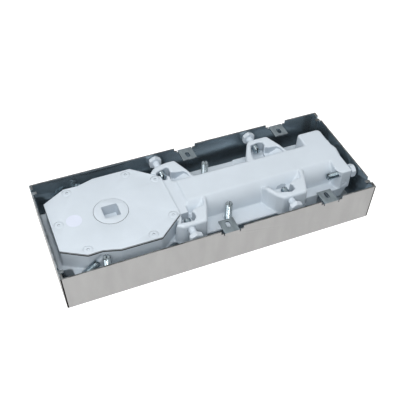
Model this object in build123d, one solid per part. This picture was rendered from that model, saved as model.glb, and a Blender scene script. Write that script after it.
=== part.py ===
from build123d import *
import math
import os

# Floor spring: a hydraulic door closer in a sheet-steel floor box, in millimetres.
# Origin: on the spindle axis, at the underside of the box. +X runs along the
# barrel, away from the spindle, +Y to the back and +Z up.

# Floor box
SHEET = 1.5
BOX_LEFT = -69.2
BOX_RIGHT = 271.8
BOX_FRONT = -72.0
BOX_BACK = 63.0
BOX_TOP = 47.5
BEND_RADIUS = 3.0
END_LEAN = 1.9
LAP = 13.0
HOOK_WIDTH = 4.0
HOOK_REACH = 2.6
HOOK_TOP = 45.5
HOOK_INSET = 11.5
HOOK_NOTCH = 8.0
TAB_XS = (105.6, 220.1)
TAB_WIDTH = 16.5
TAB_TOP = 43.5
TAB_REACH = 18.2
TAB_RELIEF = 4.2
TAB_SLIT = 3.0
TAB_SLOT_FROM_WALL = 11.0
SCREW_SLOT_WIDTH = 4.5
SCREW_SLOT_LENGTH = 8.5

# Casting: head, neck, barrel and flange
CASTING_BOTTOM = 3.8
HEAD_OUTLINE = [(-62.3, 33.5), (-37.8, 47.8), (-22.8, 47.4), (-5.3, 52.4), (37.3, 52.8), (65.1, 29.3)]
SEAT_TOP = 40.2
NECK_TOP = 42.0
NECK_HALF_WIDTH = 29.0
NECK_END = 75.0
FLAT_START = 79.0
BARREL_Z = 24.3
BARREL_RADIUS = 26.0
BARREL_TOP = 45.2
CASTING_END = 264.5
END_RIM_RADIUS = 20.6
END_RIM_LENGTH = 2.0
FLANGE_TOP = 20.5
FLANGE_BOTTOM = 17.5
FLANGE_FRONT = 46.0
FLANGE_BACK = 47.8
FLANGE_FAR_BACK = (241.5, 46.5)
FLANGE_STEP_X = 207.0
FLANGE_STEP_SIDE = 37.6
FLANGE_FOOT = (212.0, 226.5)
HEAD_FLANGE_SIDE = 58.5
HEAD_FLANGE_X = (-67.4, -54.2, -12.0)
HEAD_FLANGE_NOTCHES = {-1: 39.0, 1: 42.8}
FRONT_RECESS = [(43.2, 49.8), (47.0, 46.3), (52.9, 44.0), (57.9, 45.3), (60.0, 46.0)]
FLANGE_PAD = (159.5, 175.0, 26.0, 47.0)
FLANGE_PAD_TOP = 22.3

# Ears for the lateral adjusting bolts
FRONT_EAR_TIP = 49.6
BACK_EAR_TIP = 48.0
EAR_CORNER = 3.0
EAR_LEDGE = 0.9
EAR_ROUNDING = 2.6
EAR_LIP = 39.5
POCKET_FLOOR = 32.0
BRANCH_FLOOR = (34.0, 42.5)

# End block
BLOCK_BOTTOM = 15.0
BLOCK_LEFT_TOP = 235.8
BLOCK_LEFT_FOOT = 234.0
BLOCK_BACK = 36.8
BLOCK_LEFT_ROUNDING = 3.0
BLOCK_TOP_ROUNDING = 2.0
FLANGE_END_X = 260.0
FLANGE_END_FRONT = -38.2
FLANGE_END_BACK = 36.0
ARM_FRONT = -38.8
FOOT_X = (243.0, 259.0)
FOOT_FRONT = -35.5

# Hollow for the cam and its carriage, and the cylinder bore
CAVITY_X = (-46.0, 50.0)
CAVITY_SIDE = 34.0
CAVITY_CORNER = 10.0
CAVITY_FLOOR = 10.5
BEARING_FLOOR = 5.6
BORE_RADIUS = 18.0
BORE_START = 80.0
BUSH_START = 64.0
BUSH_RADIUS = 9.0

# M8 adjusting screws
M8_RADIUS = 4.0
HEX_ACROSS_FLATS = 13.0
HEX_HEIGHT = 5.3
THREAD_GAP = 0.05
SLOT_WIDTH = 1.5
SLOT_DEPTH = 2.4
FRONT_BOLT_XS = (70.0, 184.0)
BACK_BOLT_XS = (68.8, 184.0)
BOLT_Z = 38.4
FRONT_INNER_ENDS = (-36.0, -31.8)
BACK_INNER_ENDS = (31.0, 33.0)
FRONT_HEAD_FACES = (-65.2, -63.6)
BACK_HEAD_FACES = (61.2, 61.2)
BOLT_TRAVEL_IN = 6.5
END_BOLT_Y = -33.2
END_BOLT_Z = 39.3
END_BOLT_HEAD_FACE = 270.1
END_BOLT_TIP = 237.0
STUD_BOTTOM = 1.55
LEFT_STUD = (-21.2, 53.2, 38.6)
MIDDLE_STUD = (118.7, 33.4, 42.6)
STUD_BOSS_RADIUS = 6.3
STUD_BOSS_BOTTOM = 8.0
CLAMP_Y = 50.0
CLAMP_TOP_X = -29.8
CLAMP_TOP_Z = 29.7
CLAMP_TILT = 41.4
CLAMP_LENGTH = 30.0
CLAMP_BOSS = (-63.5, -40.0, 43.0, 57.0)
CLAMP_BOSS_BOTTOM = 9.5

# Lid, its gasket and screws
LID_OUTLINE = [(-62.6, 33.7), (-38.0, 48.0), (-22.8, 47.6), (-5.3, 52.7), (37.5, 53.1), (65.3, 29.4)]
LID_BOTTOM = 41.5
LID_TOP = 43.5
LID_CLEARANCE = 0.25
SPIGOT_BOTTOM = 34.3
SPIGOT_GAP = 0.5
LID_SCREWS = [
    (-54.8, 0.0), (-36.0, 41.5), (-36.0, -41.5), (30.5, 46.3), (30.5, -46.3), (58.3, 28.2), (58.3, -28.2),
]
LID_SCREW_RADIUS = 2.5
LID_SCREW_BOTTOM = 27.0
LID_HEAD_RADIUS = 4.2
LID_DIMPLE_RADIUS = 4.9
LID_DIMPLE_DEPTH = 0.9
LID_KEY_RADIUS = 1.7
LABEL_X = -39.0
LABEL_RADIUS = 8.2
LABEL_THICK = 0.15

# Spindle and its bearings
DISC_RADIUS = 18.0
DISC_BOTTOM = 39.5
DISC_HOLE_RADIUS = 18.35
SOCKET_SIDE = 17.0
SOCKET_FLOOR_SIDE = 13.2
SOCKET_DEPTH = 11.0
SOCKET_CORNER = 1.0
NECK_RADIUS = 15.5
NECK_BOTTOM = 32.3
SHAFT_RADIUS = 9.5
SHAFT_BOTTOM = 12.0
JOURNAL_RADIUS = 8.0
RUNNING_GAP = 0.05
WASHER_THICK = 0.9
LOWER_BEARING_RADIUS = 12.5
UPPER_BEARING_RADIUS = 20.0
UPPER_BEARING_TOP = 38.4
SEAL_TOP = 39.2
SEAL_GAP = 0.35

# Heart cam, roller and carriage
CAM_BOTTOM = 20.8
CAM_TOP = 27.8
ROLLER_RADIUS = 7.0
ROLLER_X = -19.5
DOOR_ANGLE = 130.0
PISTON_STROKE = 14.0
CAM_RISE = PISTON_STROKE / math.radians(DOOR_ANGLE)
CAM_GAP = 0.25
CAM_END_ANGLE = 142
CAM_STEP = 6
KEY_SIDE = 4.0
PLATE_THICK = 3.0
LOWER_PLATE_BOTTOM = 16.8
UPPER_PLATE_BOTTOM = 28.8
CARRIAGE_X = (-29.0, 46.0)
CARRIAGE_SIDE = 20.0
SHAFT_SLOT_GAP = 0.4
CROSSHEAD_X = 34.0
CROSSHEAD_SIDE = 14.0
PIN_RADIUS = 3.0
SPACER_RADIUS = 2.5
SPACER_X = -25.5
SPACER_Y = 16.5

# Piston rod, piston and main spring
ROD_RADIUS = 6.0
ROD_X = (46.0, 226.0)
ROD_TAIL_RADIUS = 4.0
ROD_TAIL_LEFT = 35.0
SPRING_WIRE = 5.0
SPRING_RADIUS = 13.5
SPRING_TURNS = 12
SPRING_X = (80.4, 188.0)
SPRING_PLATE_THICK = 4.0
PISTON_X = (198.0, 218.0)
PISTON_SEAL_X = (210.5, 213.5)
PISTON_SEAL_DEPTH = 2.4
NUT_ACROSS_FLATS = 18.0
NUT_LENGTH = 6.0
BALL_RADIUS = 2.5
BALL_Y = 11.8
BALL_TRAVEL = 1.0
BALL_CLEARANCE = 0.3
BALL_PORT_RADIUS = 1.5
BALL_SEAT_X = 202.0

# Cylinder end plug, valves and filler
PLUG_START = 246.5
PLUG_RADIUS = 17.95
PLUG_SEAL_X = (249.0, 252.0)
PLUG_SEAL_DEPTH = 2.2
PLUG_KEY_ACROSS_FLATS = 12.0
PLUG_KEY_DEPTH = 7.0
VALVE_RADIUS = 3.2
VALVE_X = 257.0
VALVE_Z = 28.5
VALVE_INNER_END = 23.0
VALVE_RECESS = 0.4
VALVE_SLOT = 1.2
VALVE_GROOVE = (5.0, 7.0)
VALVE_GROOVE_DEPTH = 1.2
FILLER_RADIUS = 4.0
FILLER_Y = 27.5
FILLER_Z = 38.0
FILLER_LENGTH = 9.0
FILLER_KEY = 4.0


def block(x0, x1, y0, y1, z0, z1):
    """A box between two corners."""
    return Pos((x0 + x1) / 2, (y0 + y1) / 2, (z0 + z1) / 2) * Box(x1 - x0, y1 - y0, z1 - z0)


def bar_x(radius, x0, x1, y=0.0, z=BARREL_Z):
    """A round bar along X, on the barrel's axis unless told otherwise."""
    return Pos((x0 + x1) / 2, y, z) * Rot(0, 90, 0) * Cylinder(radius, x1 - x0)


def bar_y(radius, y0, y1, x, z):
    """A round bar along Y."""
    return Pos(x, (y0 + y1) / 2, z) * Rot(90, 0, 0) * Cylinder(radius, y1 - y0)


def bar_z(radius, z0, z1, x=0.0, y=0.0):
    """A round bar along Z."""
    return Pos(x, y, (z0 + z1) / 2) * Cylinder(radius, z1 - z0)


def ring_z(inner, outer, z0, z1):
    """A ring round the spindle axis."""
    return bar_z(outer, z0, z1) - bar_z(inner, z0 - 1, z1 + 1)


def ring_x(inner, outer, x0, x1):
    """A ring round the barrel's axis."""
    return bar_x(outer, x0, x1) - bar_x(inner, x0 - 1, x1 + 1)


def prism(points, z0, z1):
    """An upright prism on an outline in plan."""
    return extrude(Plane.XY.offset(z0) * make_face(Polyline(*points, close=True)), z1 - z0)


def side_prism(points, y0, y1):
    """A prism along Y on an outline of (x, z) points."""
    plane = Plane(origin=(0, y0, 0), x_dir=(1, 0, 0), z_dir=(0, -1, 0))
    return extrude(plane * make_face(Polyline(*points, close=True)), -(y1 - y0))


def end_prism(points, x0, x1):
    """A prism along X on an outline of (y, z) points."""
    plane = Plane(origin=(x0, 0, 0), x_dir=(0, 1, 0), z_dir=(1, 0, 0))
    return extrude(plane * make_face(Polyline(*points, close=True)), x1 - x0)


def mirrored(shape):
    """The same shape on the other side of the barrel's centre plane."""
    return mirror(shape, Plane.XZ)


def both_sides(points):
    """A closed outline from its half with positive Y."""
    return points + [(x, -y) for x, y in reversed(points)]


def corner_ends():
    """Each end of the box with each long wall: wall position and inward direction."""
    return [(BOX_FRONT, 1), (BOX_BACK, -1)]


def span(a, b):
    """Two values in rising order."""
    return min(a, b), max(a, b)


def cover_tab(x, wall, inward):
    """A tab bent in from a long wall, slotted for a cover screw."""
    half = TAB_WIDTH / 2
    tab = block(x - half, x + half, *span(wall, wall + inward * TAB_REACH), TAB_TOP - SHEET, TAB_TOP)
    bend = [e for e in tab.edges().filter_by(Axis.X)
            if abs(e.center().Y - wall) < 0.1 and e.center().Z > TAB_TOP - 0.1]
    tab = fillet(bend, SHEET * 0.9)
    slot = Pos(x, wall + inward * TAB_SLOT_FROM_WALL) * SlotOverall(
        SCREW_SLOT_LENGTH, SCREW_SLOT_WIDTH, rotation=90
    )
    return tab - extrude(Plane.XY.offset(TAB_TOP - 2 * SHEET) * slot, 3 * SHEET)


def box_shell():
    """Floor and long walls of the box in one sheet, with end laps and cover tabs."""
    x0, x1 = BOX_LEFT + SHEET, BOX_RIGHT - SHEET
    outer = side_prism(
        [(x0, 0), (x1, 0), (x1 + END_LEAN, BOX_TOP), (x0 - END_LEAN, BOX_TOP)], BOX_FRONT, BOX_BACK
    )
    outer = fillet(outer.edges().filter_by(Axis.X).group_by(Axis.Z)[0], BEND_RADIUS)
    left, right = x0 + SHEET, x1 - SHEET
    rim = END_LEAN * (BOX_TOP + 1) / BOX_TOP
    inner = side_prism(
        [(left, SHEET), (right, SHEET), (right + rim, BOX_TOP + 1), (left - rim, BOX_TOP + 1)],
        BOX_FRONT + SHEET, BOX_BACK - SHEET,
    )
    inner = fillet(inner.edges().filter_by(Axis.X).group_by(Axis.Z)[0], BEND_RADIUS - SHEET)
    shell = outer - inner
    shell -= block(x0 - 5, x1 + 5, BOX_FRONT + LAP, BOX_BACK - LAP, SHEET, BOX_TOP + 1)
    for end in (x0, x1):
        for wall, inward in corner_ends():
            y = wall + inward * HOOK_INSET
            half = HOOK_NOTCH / 2
            shell -= block(end - 6, end + 6, y - half, y + half, HOOK_TOP - SHEET, BOX_TOP + 1)
    for x in TAB_XS:
        half = TAB_WIDTH / 2
        for wall, inward in corner_ends():
            thickness = span(wall - inward, wall + inward * 3)
            shell -= block(x - half - TAB_RELIEF, x + half + TAB_RELIEF, *thickness, TAB_TOP, BOX_TOP + 1)
            for side in (-1, 1):
                slit = span(x + side * half, x + side * (half + 1))
                shell -= block(*slit, *thickness, TAB_TOP - TAB_SLIT, TAB_TOP + 1)
            shell += cover_tab(x, wall, inward)
    return shell


def end_plate(outer, inward_x):
    """An end wall outside the laps, leaning out a little, with two hooks bent in over them."""
    inner = outer + inward_x * SHEET
    lean = inward_x * END_LEAN
    plate = side_prism(
        [(outer, 0), (inner, 0), (inner - lean, BOX_TOP), (outer - lean, BOX_TOP)],
        BOX_FRONT + 0.2, BOX_BACK - 0.2,
    )
    plate = fillet(plate.edges().filter_by(Axis.X).group_by(Axis.Z)[0], BEND_RADIUS)
    hook_root = outer - lean * (HOOK_TOP - SHEET) / BOX_TOP
    hook_end = hook_root + inward_x * (2 * SHEET + HOOK_REACH)
    for wall, inward in corner_ends():
        y = wall + inward * HOOK_INSET
        notch, hook = HOOK_NOTCH / 2, HOOK_WIDTH / 2
        plate -= block(outer - 6, outer + 6, y - notch, y + notch, HOOK_TOP - SHEET, BOX_TOP + 1)
        plate += block(*span(hook_root, hook_end), y - hook, y + hook, HOOK_TOP - SHEET, HOOK_TOP)
    return plate


def ear(x_bolt, left_edge, right_edge, pocket):
    """A front ear: a wing off the barrel, with an open pocket for the bolt's slotted end."""
    top = BARREL_TOP - 0.2
    outline = [(x_bolt + dx, y) for dx, y in left_edge + right_edge]
    wing = prism(outline, FLANGE_BOTTOM, top)
    tips = wing.edges().filter_by(Axis.Z).sort_by(Axis.Y)[:2]
    wing = fillet(tips, EAR_CORNER)
    wing = fillet(wing.edges().group_by(Axis.Z)[-1], EAR_ROUNDING)
    foot = [(x, y - EAR_LEDGE if y < -FLANGE_FRONT + 4 else y) for x, y in outline]
    wing += prism(foot, FLANGE_BOTTOM, FLANGE_TOP)
    wing -= prism([(x_bolt + dx, y) for dx, y in pocket], POCKET_FLOOR, top + 1)
    branch = [(6.0, -14.0), (6.0, -32.3), (12.2, -29.2), (21.0, -28.3), (23.6, -24.8), (25.7, -14.0)]
    branch = prism([(x_bolt + dx, y) for dx, y in branch], POCKET_FLOOR, top + 1)
    low, high = BRANCH_FLOOR
    sloped = [(5.0, low), (11.0, low), (24.0, high), (27.0, top + 1), (5.0, top + 1)]
    return wing - (branch & side_prism([(x_bolt + dx, z) for dx, z in sloped], -60, 0))


def right_edge_of_ear(tip, wider=0.0):
    return [(17.6 + wider, -tip), (25.8 + wider, -29.0), (29.0 + wider, -18.0), (29.0 + wider, -8.0)]


def ears():
    """The four ears; the pockets of the two at the neck are open towards the lid."""
    neck_x, barrel_x = FRONT_BOLT_XS
    neck_front = ear(
        neck_x,
        [(-8.0, -8.0), (-6.0, -31.0), (-15.0, -43.5), (-12.5, -47.0), (-8.0, -FRONT_EAR_TIP)],
        right_edge_of_ear(FRONT_EAR_TIP),
        [(-3.5, -14.0), (-3.5, -31.0), (-9.0, -43.6), (4.5, -44.8), (8.6, -40.6), (9.0, -34.2),
         (7.0, -32.3), (7.0, -14.0)],
    )
    lip = [(-20.0, -14.0), (-3.0, -14.0), (-3.0, -29.0), (-8.5, -43.6), (-20.0, -43.6)]
    neck_front -= prism([(neck_x + dx, y) for dx, y in lip], EAR_LIP, BARREL_TOP)
    neck_back = ear(
        neck_x,
        [(-20.0, -8.0), (-20.0, -34.0), (-13.5, -38.5), (-9.5, -43.0), (0.6, -46.8), (8.0, -BACK_EAR_TIP)],
        right_edge_of_ear(BACK_EAR_TIP),
        [(-9.0, -14.0), (-9.0, -30.0), (-7.5, -36.2), (5.4, -40.2), (7.2, -38.6), (7.0, -33.0),
         (7.0, -14.0)],
    )
    barrel_front = ear(
        barrel_x,
        [(-21.4, -8.0), (-21.8, -27.0), (-19.2, -35.0), (-14.4, -43.2), (-8.5, -FRONT_EAR_TIP)],
        right_edge_of_ear(FRONT_EAR_TIP, 1.5),
        [(-14.5, -14.0), (-16.6, -30.0), (-11.2, -39.4), (3.6, -43.6), (8.8, -40.8), (9.0, -34.2),
         (7.0, -32.3), (7.0, -14.0)],
    )
    fading_rim = [(-10.0, 36.0), (-19.0, 36.0), (-31.0, 46.0), (-10.0, 46.0)]
    barrel_front -= end_prism(fading_rim, barrel_x - 25.0, barrel_x - 14.0)
    barrel_back = ear(
        barrel_x,
        [(-21.0, -8.0), (-20.0, -22.0), (-16.2, -30.5), (-8.8, -44.5), (-5.0, -BACK_EAR_TIP)],
        right_edge_of_ear(BACK_EAR_TIP),
        [(-14.0, -14.0), (-11.5, -27.0), (-6.2, -39.8), (4.8, -41.5), (8.6, -39.6), (9.0, -34.2),
         (7.0, -32.3), (7.0, -14.0)],
    )
    over_neck = room_over_neck(NECK_HALF_WIDTH)
    return [neck_front - over_neck, mirrored(neck_back) - over_neck, barrel_front, mirrored(barrel_back)]


def room_over_neck(half_width):
    """The space above the neck, up to the step where the barrel's flat top begins."""
    profile = [
        (40, NECK_TOP), (NECK_END, NECK_TOP), (NECK_END + 2.4, NECK_TOP + 0.9),
        (FLAT_START, BARREL_TOP), (FLAT_START, 60), (40, 60),
    ]
    return side_prism(profile, -half_width, half_width)


def barrel():
    """The cylinder's outside, flat on top and underneath, running down to the neck."""
    body = bar_x(BARREL_RADIUS, NECK_END - 20, CASTING_END)
    body -= block(0, CASTING_END + 9, -40, 40, BARREL_TOP, 60)
    body -= block(0, CASTING_END + 9, -40, 40, -10, CASTING_BOTTOM)
    body -= room_over_neck(40)
    return body + bar_x(END_RIM_RADIUS, CASTING_END - 1, CASTING_END + END_RIM_LENGTH)


def head_edge(notch, ending):
    """The flange's edge along one side of the head, from the notch for the box's lap."""
    left, inner, right = HEAD_FLANGE_X
    return [
        (left, notch), (inner - 4.0, notch), (inner - 1.2, notch + 1.2), (inner, notch + 4.0),
        (inner, HEAD_FLANGE_SIDE), (right, HEAD_FLANGE_SIDE), (right + 5, 53.0), (38, 53.0),
    ] + ending


def flange():
    """The plate round the casting, wider at the head, with the studs' bosses."""
    back = head_edge(HEAD_FLANGE_NOTCHES[1], [(48, FLANGE_BACK)])
    far_back = [FLANGE_FAR_BACK, (FLANGE_END_X, FLANGE_END_BACK)]
    front = [(x, -y) for x, y in head_edge(HEAD_FLANGE_NOTCHES[-1], FRONT_RECESS)]
    far_front = [
        (FLANGE_STEP_X, -FLANGE_FRONT), (FLANGE_STEP_X + 1, -FLANGE_STEP_SIDE),
        (FLANGE_END_X, FLANGE_END_FRONT),
    ]
    plate = prism(back + far_back + (front + far_front)[::-1], FLANGE_BOTTOM, FLANGE_TOP)
    plate += block(*FLANGE_PAD, FLANGE_BOTTOM, FLANGE_PAD_TOP)
    plate += block(*FLANGE_FOOT, -FLANGE_STEP_SIDE, 0, CASTING_BOTTOM, FLANGE_BOTTOM + 1)
    for x, y, _ in (LEFT_STUD, MIDDLE_STUD):
        for side in (-1, 1):
            plate += bar_z(STUD_BOSS_RADIUS, STUD_BOSS_BOTTOM, FLANGE_TOP, x, side * y)
    x0, x1, y0, y1 = CLAMP_BOSS
    for side, notch in HEAD_FLANGE_NOTCHES.items():
        boss = block(x0, x1, *span(side * y0, side * y1), CLAMP_BOSS_BOTTOM, FLANGE_TOP)
        plate += boss - block(
            x0 - 1, HEAD_FLANGE_X[1], *span(side * notch, side * 60), 0, FLANGE_TOP + 1
        )
    return plate


def end_block():
    """The raised block at the far end, and its front arm for the end bolt."""
    profile = [
        (BLOCK_LEFT_FOOT, BLOCK_BOTTOM), (BLOCK_LEFT_TOP, BARREL_TOP),
        (CASTING_END, BARREL_TOP), (CASTING_END, BLOCK_BOTTOM),
    ]
    back = side_prism(profile, 0, BLOCK_BACK)
    back = fillet(back.edges().filter_by(Axis.Z).sort_by(Axis.Y)[-1], 5.0)
    corner = [e for e in back.edges()
              if e.center().X < BLOCK_LEFT_TOP and e.center().Y > BLOCK_BACK - 0.1]
    back = fillet(corner, BLOCK_LEFT_ROUNDING)
    rim = [e for e in back.edges()
           if e.center().X < BLOCK_LEFT_TOP + 2 and e.center().Z > BARREL_TOP - 0.1]
    back = fillet(rim, BLOCK_TOP_ROUNDING)
    arm_outline = [
        (249.5, 0), (249.5, -18.0), (248.0, -32.5), (252.5, ARM_FRONT), (CASTING_END, ARM_FRONT),
        (CASTING_END, 0),
    ]
    arm = prism(arm_outline, FLANGE_TOP - 0.5, BARREL_TOP)
    left, right = FOOT_X
    foot_profile = [
        (left, CASTING_BOTTOM), (right, CASTING_BOTTOM), (CASTING_END, BLOCK_BOTTOM + 1),
        (left, BLOCK_BOTTOM + 1),
    ]
    foot = side_prism(foot_profile, FOOT_FRONT, BLOCK_BACK - 2)
    return back + arm + foot


def cavity(z0, z1, inset=0.0):
    """The space round the cam, or a smaller block of the same outline."""
    x0, x1 = CAVITY_X
    side = CAVITY_SIDE - inset
    shape = block(x0 + inset, x1 - inset, -side, side, z0, z1)
    return fillet(shape.edges().filter_by(Axis.Z), CAVITY_CORNER - inset)


def tilted_bar(radius, start, end, side):
    """A bar on a clamping screw's tilted axis, measured down from its slotted end."""
    tilt = math.radians(CLAMP_TILT)
    plane = Plane(
        origin=(CLAMP_TOP_X, side * CLAMP_Y, CLAMP_TOP_Z),
        x_dir=(0, 1, 0),
        z_dir=(-math.cos(tilt), 0, -math.sin(tilt)),
    )
    return plane * Pos(0, 0, (start + end) / 2) * Cylinder(radius, end - start)


def screw_holes():
    """Every threaded hole in the casting."""
    reach = M8_RADIUS + THREAD_GAP
    holes = []
    for x, front_end in zip(FRONT_BOLT_XS, FRONT_INNER_ENDS):
        holes.append(bar_y(reach, -FRONT_EAR_TIP - 3, front_end + BOLT_TRAVEL_IN, x, BOLT_Z))
    for x, back_end in zip(BACK_BOLT_XS, BACK_INNER_ENDS):
        holes.append(bar_y(reach, back_end - BOLT_TRAVEL_IN, BACK_EAR_TIP + 3, x, BOLT_Z))
    holes.append(bar_x(reach, END_BOLT_TIP - 1, CASTING_END + 3, END_BOLT_Y, END_BOLT_Z))
    for x, y, _ in (LEFT_STUD, MIDDLE_STUD):
        for side in (-1, 1):
            holes.append(bar_z(reach, 0, FLANGE_TOP + 4, x, side * y))
    for side, face in ((-1, -ARM_FRONT), (1, BLOCK_BACK)):
        holes.append(tilted_bar(reach, -8, CLAMP_LENGTH + 12, side))
        depth = span(side * VALVE_INNER_END, side * (face + 1))
        holes.append(bar_y(VALVE_RADIUS + RUNNING_GAP, *depth, VALVE_X, VALVE_Z))
    for x, y in LID_SCREWS:
        holes.append(bar_z(LID_SCREW_RADIUS, LID_SCREW_BOTTOM - 1, SEAT_TOP + 1, x, y))
    holes.append(bar_x(FILLER_RADIUS, CASTING_END - FILLER_LENGTH, CASTING_END + 1, FILLER_Y, FILLER_Z))
    return holes


def housing():
    """The one-piece casting: head, neck, barrel, flange, ears and end block."""
    body = flange() + end_block()
    for wing in ears():
        body += wing
    lid_outline = make_face(Polyline(*both_sides(LID_OUTLINE), close=True))
    lid_room = offset(lid_outline, LID_CLEARANCE, kind=Kind.INTERSECTION)
    body -= extrude(Plane.XY.offset(SEAT_TOP) * lid_room, BOX_TOP - SEAT_TOP)
    body += prism(both_sides(HEAD_OUTLINE), CASTING_BOTTOM, SEAT_TOP)
    neck_left = HEAD_OUTLINE[-1][0]
    body += block(neck_left - 5, NECK_END, -NECK_HALF_WIDTH, NECK_HALF_WIDTH, CASTING_BOTTOM, SEAT_TOP)
    body += block(neck_left + 0.4, NECK_END, -NECK_HALF_WIDTH, NECK_HALF_WIDTH, CASTING_BOTTOM, NECK_TOP)
    tube = barrel()
    body += tube - block(0, neck_left + 0.4, -40, 40, SEAT_TOP, 60)
    body -= cavity(CAVITY_FLOOR, SEAT_TOP + 1)
    body -= bar_z(LOWER_BEARING_RADIUS, BEARING_FLOOR, CAVITY_FLOOR + 1)
    body -= bar_x(BORE_RADIUS, BORE_START, CASTING_END + 5)
    body -= bar_x(BUSH_RADIUS, BUSH_START, BORE_START + 1)
    body -= bar_x(ROD_RADIUS + 0.3, CAVITY_X[1] - 2, BUSH_START + 1)
    for hole in screw_holes():
        body -= hole
    return body


def lid():
    """The cover plate of the head, with a spigot below it that holds the bearing."""
    plate = prism(both_sides(LID_OUTLINE), LID_BOTTOM, LID_TOP)
    plate += cavity(SPIGOT_BOTTOM, LID_BOTTOM, SPIGOT_GAP)
    plate -= bar_z(DISC_HOLE_RADIUS, SPIGOT_BOTTOM - 1, LID_TOP + 1)
    plate -= bar_z(UPPER_BEARING_RADIUS, SPIGOT_BOTTOM - 1, UPPER_BEARING_TOP)
    for x, y in LID_SCREWS:
        plate -= bar_z(LID_SCREW_RADIUS + 0.1, LID_BOTTOM - 1, LID_TOP + 1, x, y)
        plate -= bar_z(LID_DIMPLE_RADIUS, LID_TOP - LID_DIMPLE_DEPTH, LID_TOP + 1, x, y)
    return plate


def lid_gasket():
    gasket = prism(both_sides(LID_OUTLINE), SEAT_TOP, LID_BOTTOM) - cavity(SEAT_TOP - 1, LID_BOTTOM + 1)
    for x, y in LID_SCREWS:
        gasket -= bar_z(LID_SCREW_RADIUS + 0.1, SEAT_TOP - 1, LID_BOTTOM + 1, x, y)
    return gasket


def lid_screws():
    """Seven screws, their heads just below the lid's face."""
    seat = LID_TOP - LID_DIMPLE_DEPTH
    screws = []
    for x, y in LID_SCREWS:
        screw = bar_z(LID_SCREW_RADIUS, LID_SCREW_BOTTOM, seat, x, y)
        screw += bar_z(LID_HEAD_RADIUS, seat, LID_TOP - 0.1, x, y)
        key = Pos(x, y) * RegularPolygon(LID_KEY_RADIUS, 6)
        screws.append(screw - extrude(Plane.XY.offset(seat - 2) * key, 4))
    return Compound(children=screws)


def spindle():
    """Disc with the square socket, neck, cam shaft with its keyway, and journal."""
    body = bar_z(DISC_RADIUS, DISC_BOTTOM, LID_TOP)
    body += bar_z(NECK_RADIUS, NECK_BOTTOM, DISC_BOTTOM)
    body += bar_z(SHAFT_RADIUS, SHAFT_BOTTOM, NECK_BOTTOM)
    body += bar_z(JOURNAL_RADIUS, BEARING_FLOOR + WASHER_THICK + RUNNING_GAP, SHAFT_BOTTOM)
    return body - tapered_socket() - cam_key()


def tapered_socket():
    """The room in the disc's square socket, narrowing towards its floor."""
    spread = (SOCKET_SIDE - SOCKET_FLOOR_SIDE) / SOCKET_DEPTH
    ends = []
    for rise in (-SOCKET_DEPTH, 1.0):
        side = SOCKET_SIDE + spread * rise
        ends.append(Plane.XY.offset(LID_TOP + rise) * RectangleRounded(side, side, SOCKET_CORNER))
    return loft(ends, ruled=True)


def cam_key():
    """The square key between shaft and cam, on the side away from the notch."""
    half = KEY_SIDE / 2
    return block(SHAFT_RADIUS - half, SHAFT_RADIUS + half, -half, half, CAM_BOTTOM, CAM_TOP)


def cam_flank():
    """Points on one flank: the roller's path set in by its radius and a small gap."""
    inset = ROLLER_RADIUS + CAM_GAP
    points = []
    for degrees in range(0, CAM_END_ANGLE + 1, CAM_STEP):
        angle = math.radians(degrees)
        pitch = -ROLLER_X + CAM_RISE * angle
        lean = math.atan2(CAM_RISE, pitch)
        x = pitch * math.cos(angle) - inset * math.cos(angle - lean)
        y = pitch * math.sin(angle) - inset * math.sin(angle - lean)
        points.append((-x, y))
    return points


def heart_cam():
    """The heart-shaped cam; its notch holds the roller when the door is shut."""
    upper = cam_flank()
    lower = [(x, -y) for x, y in upper]
    notch_middle = (ROLLER_X + ROLLER_RADIUS + CAM_GAP, 0)
    far = math.hypot(*upper[-1])
    outline = (
        ThreePointArc(lower[0], notch_middle, upper[0])
        + Spline(*upper)
        + ThreePointArc(upper[-1], (far, 0), lower[-1])
        + Spline(*lower[::-1])
    )
    cam = extrude(Plane.XY.offset(CAM_BOTTOM) * make_face(outline), CAM_TOP - CAM_BOTTOM)
    return cam - bar_z(SHAFT_RADIUS, CAM_BOTTOM - 1, CAM_TOP + 1) - cam_key()


def carriage_plate(bottom):
    """A flat plate of the carriage, slotted to pass the shaft."""
    x0, x1 = CARRIAGE_X
    plate = block(x0, x1, -CARRIAGE_SIDE, CARRIAGE_SIDE, bottom, bottom + PLATE_THICK)
    plate = fillet(plate.edges().filter_by(Axis.Z), 5.0)
    reach = SHAFT_RADIUS + SHAFT_SLOT_GAP
    for x in (0.0, PISTON_STROKE):
        plate -= bar_z(reach, bottom - 1, bottom + PLATE_THICK + 1, x)
    plate -= block(0, PISTON_STROKE, -reach, reach, bottom - 1, bottom + PLATE_THICK + 1)
    plate -= bar_z(PIN_RADIUS, bottom - 1, bottom + PLATE_THICK + 1, ROLLER_X)
    return plate


def plate_spacers():
    low = LOWER_PLATE_BOTTOM + PLATE_THICK
    return Compound(children=[
        bar_z(SPACER_RADIUS, low, UPPER_PLATE_BOTTOM, SPACER_X, side * SPACER_Y) for side in (-1, 1)
    ])


def roller_pin():
    return bar_z(PIN_RADIUS, LOWER_PLATE_BOTTOM, UPPER_PLATE_BOTTOM + PLATE_THICK, ROLLER_X)


def cam_roller():
    low = LOWER_PLATE_BOTTOM + PLATE_THICK + 0.5
    high = UPPER_PLATE_BOTTOM - 0.5
    roller = bar_z(ROLLER_RADIUS, low, high, ROLLER_X)
    return roller - bar_z(PIN_RADIUS + RUNNING_GAP, low - 1, high + 1, ROLLER_X)


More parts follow.
